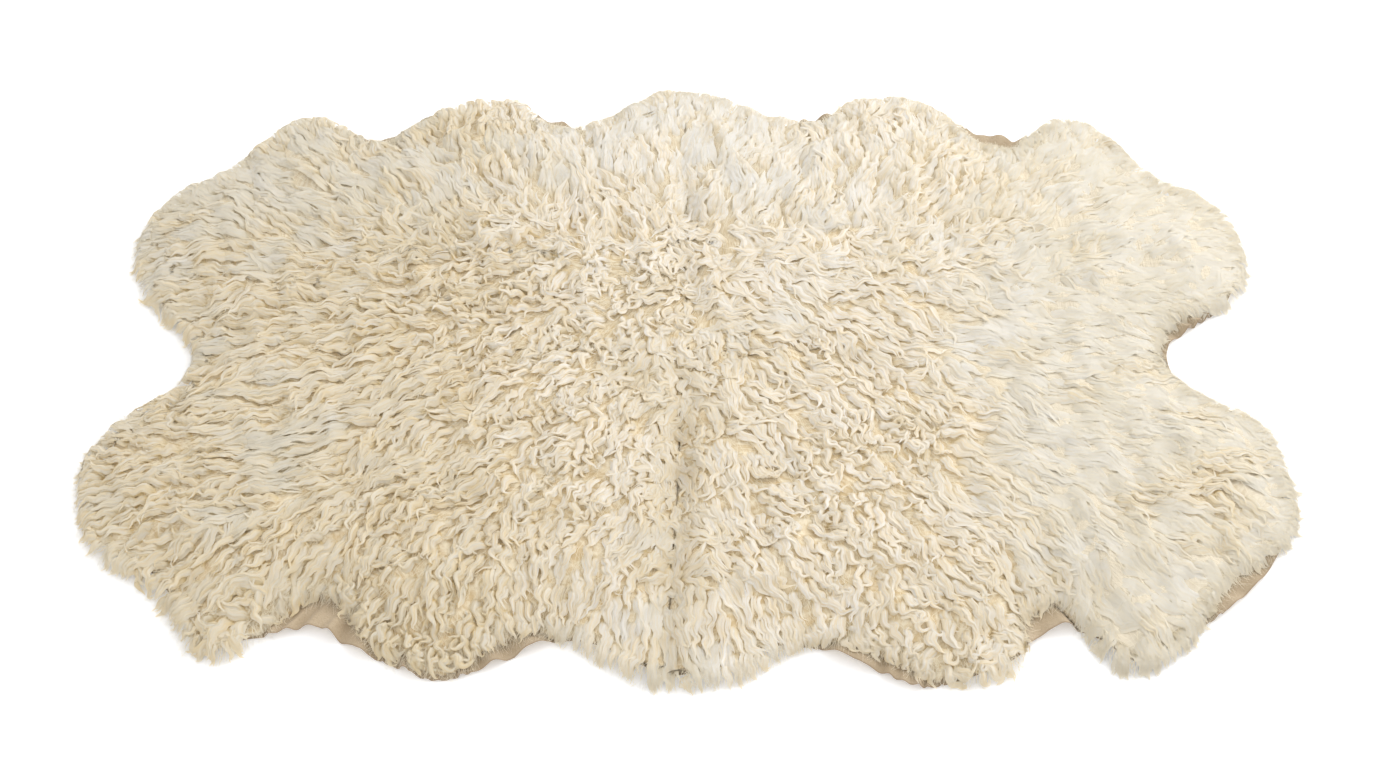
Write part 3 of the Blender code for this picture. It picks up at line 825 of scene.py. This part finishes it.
# Painted shade between strands: gold towards each ribbon's edges.
wool = blend(span(shed, 0.50, 1.0, 0.0, 0.38) * (rough + 0.15), wool, gold)
wool = blend(span(streaks, 0.38, 0.55, 0.45, 0.0) * (rough + 0.30), wool, gold)
wool = blend(own * own * 0.18 * rough, wool, gold)
wool = blend(span(rough, 0.08, 0.40, 0.3, 0.0), wool, SILK)
# Wool scatters light so much that a silky strand's own sides hardly show: it faces as the fleece does.
facing = raised((shed * -0.3 + streaks) * (rough + 0.15), 0.0010, 0.7)
facing = leaning(span(rough, 0.0, 1.0, 0.75, 0.32), facing, kept("swell"))
finish_with(lets_through=0.38, glow=THROUGH_WOOL, Base_Color=wool, Roughness=0.62, Normal=facing,
            Sheen_Weight=0.22, Sheen_Roughness=0.45, Sheen_Tint=(1.0, 0.97, 0.91, 1))

FINE = CELL / 2
combing = {}
tops = np.zeros((2 * len(FLOOR_Y), 2 * len(FLOOR_X)))
for number, pelt in enumerate(PELTS):
    chance = np.random.default_rng(20 + number)
    x, y = staggered(np.arange(-60, 60), LOCK_SPACING, 0.004, chance)
    keep = within(pelt, x, y) & (at(near_rim, x, y) > 0.82)
    x, y = x[keep], y[keep]
    # Where the wool parts, more locks grow, and they fall either way, so that no bare line shows.
    more = (parting(x, y) > 6) | (at(near_rim, x, y) < 0.93)
    x = np.concatenate((x, x[more] + chance.uniform(-0.01, 0.01, more.sum())))
    y = np.concatenate((y, y[more] + chance.uniform(-0.01, 0.01, more.sum())))
    count = len(x)
    shape = (count * FIBRES, 1)
    parts = parting(x, y)
    curl = np.clip(wool_lies(x, y)[1] + 0.18 * drift(x, y, 0.09, 7), 0, 1)
    silky = softness(x, y, curl)
    rough = (0.30 + 0.70 * ease((curl - 0.08) / 0.40)) * (1 - 0.40 * silky)
    length = (LOCK_LENGTH - 0.006 * curl - 0.020 * curl ** 3) * chance.uniform(0.80, 1.15, count)
    tuft = ((x[:, None] - tuft_x) ** 2 + (y[:, None] - tuft_y) ** 2).argmin(1)
    turn = 0.30 * drift(x, y, 0.09, 8) + tuft_turn[tuft] * (0.5 + curl)
    turn = turn + chance.normal(0, 1, count) * (0.07 + 0.09 * np.clip(parts - 3, 0, 12))
    wave = 0.85 * curl ** 0.7 * chance.uniform(0.5, 1.25, count) * (1 - 0.3 * silky)
    ripple = RIPPLE * tuft_ripple[tuft]
    phase = tuft_phase[tuft] + chance.normal(0, 0.35, count)
    phase = phase + 2 * math.pi * (at(downhill, x, y) - at(downhill, tuft_x, tuft_y)[tuft]) / ripple
    spin = tuft_spin[tuft] * curl ** 2 * chance.uniform(0.7, 1.3, count)
    stop = chance.uniform(0.05, 0.45, count)
    pull = PULL * chance.uniform(0.2, 1.8, count)
    whole = length
    lines, length = combed(x, y, length, turn, wave, ripple, phase, spin, stop, pull, STATIONS)
    # The tips of a tuft draw together, and its middle stands higher than its sides.
    across_way = np.stack((-np.sin(lines[3, :, 0]), np.cos(lines[3, :, 0])))
    aside = (x - tuft_x[tuft]) * across_way[0] + (y - tuft_y[tuft]) * across_way[1]
    gather = ((0.10 + 0.30 * curl) * aside)[:, None] * TO_TIP ** 1.5
    lines[:2] -= gather * across_way[..., None]
    arch = np.clip(1 - (aside / TUFT_HALF) ** 2, -0.6, 1)
    # Each lock is four ribbons of fibre side by side over a low arch, with their own length and place.
    lines = split(lines, chance)
    t = TO_TIP
    seat = chance.permuted(np.tile(np.linspace(-0.8, 0.8, FIBRES), (count, 1)), axis=1).reshape(-1, 1)
    sway = per_ribbon(1 - 0.5 * curl) * chance.uniform(0.03, 0.20, shape) * np.sin(
        2 * math.pi * (chance.uniform(0.6, 1.4, shape) * t + chance.random(shape)))
    wide = per_ribbon((LOCK_HALF - 0.0022 * curl ** 2) * chance.uniform(0.75, 1.25, count))
    wide = wide * (0.85 + 0.25 * np.sin(math.pi * t ** 0.8) - 0.45 * t ** 2.5)
    half = RIBBON_HALF * (1 + 0.35 * curl ** 2 + 0.25 * silky) * (0.55 + 0.45 * length / whole)
    half = per_ribbon(half) * chance.uniform(0.65, 1.35, shape)
    half = half * (0.9 + 0.25 * np.sin(math.pi * t ** 0.8) - 0.75 * t ** 4)
    # It stands up from its root, most in the middle of its tuft and where it is rough, and its tip sinks.
    ropy = ease((-0.05 - x) / 0.30)
    uneven = rough * (0.0018 + 0.0009 * curl ** 2) * (1 + 0.9 * ropy)
    uneven = uneven * (0.4 * chance.uniform(-1, 1, count) + 0.7 * tuft_rise[tuft] + arch)
    lift = per_ribbon(LOCK_LIFT + 0.0008 * ropy + uneven)
    lift = lift + chance.normal(0, 0.0006, shape) * per_ribbon(rough)
    sinks = per_ribbon(silky) * (0.10 * t + 0.25 * t ** 4)
    lift = lift * ease(t * 3.2) * (0.70 + 0.38 * t - 0.18 * t ** 5 - sinks)
    crimp = np.cos(2 * math.pi * at(downhill, lines[0], lines[1]) / RIPPLE)
    lift = lift + 0.0006 * per_ribbon(rough) * crimp * ease(t * 3)
    crown = rough * (chance.uniform(0.0014, 0.0026, count) + 0.0010 * curl ** 2) * (1 + 0.8 * ropy)
    crown = per_ribbon(crown) * ease(t * 3 + 0.1) * (1 - 0.5 * t ** 3)
    roll = chance.normal(0, 0.12, shape) * per_ribbon(rough)
    points = ribbons(lines, seat * (1 - 0.35 * t ** 2) + sway, half, lift, crown, wide, roll)
    # The top of the wool, on cells of half the size, from four places between every two stations; the painted
    # shade is measured down from it.
    step = np.arange(4)[:, None, None, None, None] / 4
    between = points[:, :-1] * (1 - step) + points[:, 1:] * step
    cell = (np.clip(((between[..., 1] - FLOOR_Y[0]) / FINE + 0.5).astype(int), 0, tops.shape[0] - 1),
            np.clip(((between[..., 0] - FLOOR_X[0]) / FINE + 0.5).astype(int), 0, tops.shape[1] - 1))
    np.maximum.at(tops, cell, between[..., 2])
    combing[pelt] = points, x, y, length, curl, rough, half, seat
tops = np.maximum(tops, np.repeat(np.repeat(height - GROUND_DROP, 2, 0), 2, 1))
# Twice the spread, because blurred() takes these cells for whole ones.
tops = blurred(tops, 0.007)


def goldness_and_shade(x, y, curl):
    """How golden and shaded the wool is, from 0 to 1: most at the rug's ends and by the front half of the
    centre seam.

    It is a sum that also grows towards the front and with the curl, drifts slowly, and is less on a lump. The
    left end, which is away from the light, the centre seam's valley and the hollows between lumps get painted
    shade; the curl, the drift and the right end are the wool's own tone.
    """
    by_seam = np.exp(-(from_seams(x, y) / 0.05) ** 2) * ease((0.15 - y) / 0.2) * (np.abs(x) < 0.15)
    ends = 0.95 * ease((-0.08 - x) / 0.40) + 0.70 * ease((x - 0.20) / 0.45)
    front = ease(-y / 0.4) * (0.12 + 0.20 * ease((0.1 - x) / 0.4))
    back = ease((y - 0.2) / 0.25)
    return np.clip(0.03 + 0.06 * curl + 0.6 * by_seam + front - 0.10 * back + ends
                   + 0.25 * drift(x, y, 0.14, 10) - 0.22 * at(lumps, x, y), 0, 1)


for number, pelt in enumerate(PELTS):
    chance = np.random.default_rng(30 + number)
    points, x, y, length, curl, rough, half, seat = combing[pelt]
    piece = surface_mesh("wool_locks_" + pelt, points)
    across = half[..., None] * np.array((-1.0, 1.0)) + seat[..., None] * 0.008
    # Painted shade: a point lower than the wool's top round it, and any point near the rim, is coloured
    # towards gold.
    around = at(tops[::2, ::2], points[..., 0], points[..., 1])
    depth_shade = np.clip((around - points[..., 2] - 0.0015) / 0.0036, 0, 1)
    depth_shade = np.maximum(depth_shade, 0.45 - 0.45 * ease((at(near_rim, points[..., 0], points[..., 1]) - 0.35) / 0.45))
    lock_of = per_ribbon(chance.random(len(x)) * 9)[..., None] + seat[..., None]
    along = per_ribbon(length)[..., None] * TO_TIP[:, None]
    keep_values(piece, points, TO_TIP, lock_of, along, across, per_ribbon(rough)[..., None], depth_shade,
                chance.random((len(points), 1, 1)), per_ribbon(goldness_and_shade(x, y, curl))[..., None])
    piece.data.materials.append(locks_wool)
    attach(piece, "root")


# --- The wisps ----------------------------------------------------------------------------------------
# Single fibres stray from the locks, most of all round the rim, and give the fleece its soft edge.

WISPS = 4500
TRIED_PLACES = 60000
WISP_STATIONS = 4
WISP_HALF = 0.00036
WISP_RIPPLE = 0.03

for number, pelt in enumerate(PELTS):
    chance = np.random.default_rng(40 + number)
    low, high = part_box("fleece_" + pelt)
    x, y = chance.uniform(low.x, high.x, TRIED_PLACES), chance.uniform(low.y, high.y, TRIED_PLACES)
    rim = at(near_rim, x, y)
    keep = within(pelt, x, y) & (rim > 0.80) & (chance.random(len(x)) < np.where(rim < 0.97, 1.0, 0.10))
    x, y = x[keep][:WISPS], y[keep][:WISPS]
    count = len(x)
    length = chance.uniform(0.030, 0.055, count)
    turn, wave = chance.normal(0, 0.3, count), chance.uniform(0.2, 0.7, count)
    phase, spin = chance.uniform(-0.8, 0.8, count), chance.normal(0, 0.8, count)
    stop, pull = 0.25 * chance.random(count) ** 2.5 + 0.002, chance.uniform(0.03, 0.15, count)
    lines, length = combed(x, y, length, turn, wave, WISP_RIPPLE, phase, spin, stop, pull, WISP_STATIONS)
    t = np.linspace(0, 1, WISP_STATIONS)
    half = WISP_HALF * chance.uniform(0.7, 1.3, (count, 1)) * (1 - 0.7 * t)
    lift = chance.uniform(0.007, 0.012, (count, 1)) * ease(t * 1.2 + 0.4)
    still = np.zeros((count, 1))
    points = ribbons(lines, still, half, lift, still, still + 0.001, still)
    piece = surface_mesh("wool_wisps_" + pelt, points)
    # The wisps get a fixed half share of painted shade and the warmest, most shaded cream.
    keep_values(piece, points, t, chance.random((count, 1, 1)) * 9, length[:, None, None] * t[:, None], 0,
                0.3, 0.5, chance.random((count, 1, 1)), 1)
    piece.data.materials.append(locks_wool)
    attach(piece, "root")

# Each hide's flat area within its outline, and its box.
for pelt in PELTS:
    reach = hide_reach[pelt]
    flat_area = float(0.5 * (reach * np.roll(reach, -1)).sum() * math.sin(2 * math.pi / AROUND))
    low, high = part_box("hide_" + pelt)


# --- The studio ---------------------------------------------------------------------------------------
# A plain white floor, a broad soft light from the right and behind, white walls all round, and a camera
# in front, 55 degrees above the floor.

WINDOW_POWER = 72
ROOM_LIGHT = 1.06
CAMERA_TILT = math.radians(55)
CAMERA_DISTANCE = 3.19
LOOKS_AT_Y = -0.036

floor_mesh = bpy.data.meshes.new("floor")
floor_mesh.from_pydata([(-30, -30, 0), (30, -30, 0), (30, 30, 0), (-30, 30, 0)], [], [(0, 1, 2, 3)])
floor = bpy.data.objects.new("floor", floor_mesh)
bpy.context.scene.collection.objects.link(floor)
paper = new_finish("white paper")
finish_with(Base_Color=(0.97, 0.97, 0.97, 1), Roughness=0.9, Specular_IOR_Level=0.1,
            Emission_Color=(1.0, 1.0, 1.0, 1), Emission_Strength=0.18)
floor_mesh.materials.append(paper)


def soft_light(name, place, size, power):
    """A square light that faces the rug's middle."""
    data = bpy.data.lights.new(name, "AREA")
    data.shape, data.size, data.energy = "SQUARE", size, power
    lamp = bpy.data.objects.new(name, data)
    bpy.context.scene.collection.objects.link(lamp)
    lamp.location = place
    away = -lamp.location.normalized()
    lamp.rotation_euler = away.to_track_quat("-Z", "Y").to_euler()


soft_light("window", (2.6, 1.7, 2.6), 2.6, WINDOW_POWER)
room = bpy.data.worlds.new("white room")
room.use_nodes = True
room.node_tree.nodes["Background"].inputs["Color"].default_value = (1.0, 1.0, 1.0, 1)
room.node_tree.nodes["Background"].inputs["Strength"].default_value = ROOM_LIGHT
bpy.context.scene.world = room
bpy.context.scene.view_settings.view_transform = "Standard"

lens = bpy.data.cameras.new("camera")
lens.lens, lens.sensor_width = 53.0, 36.0
lens.clip_end = 200
camera = bpy.data.objects.new("camera", lens)
bpy.context.scene.collection.objects.link(camera)
camera.location = (0, LOOKS_AT_Y - CAMERA_DISTANCE * math.cos(CAMERA_TILT),
                   CAMERA_DISTANCE * math.sin(CAMERA_TILT))
camera.rotation_euler = (math.pi / 2 - CAMERA_TILT, 0, 0)
bpy.context.scene.camera = camera
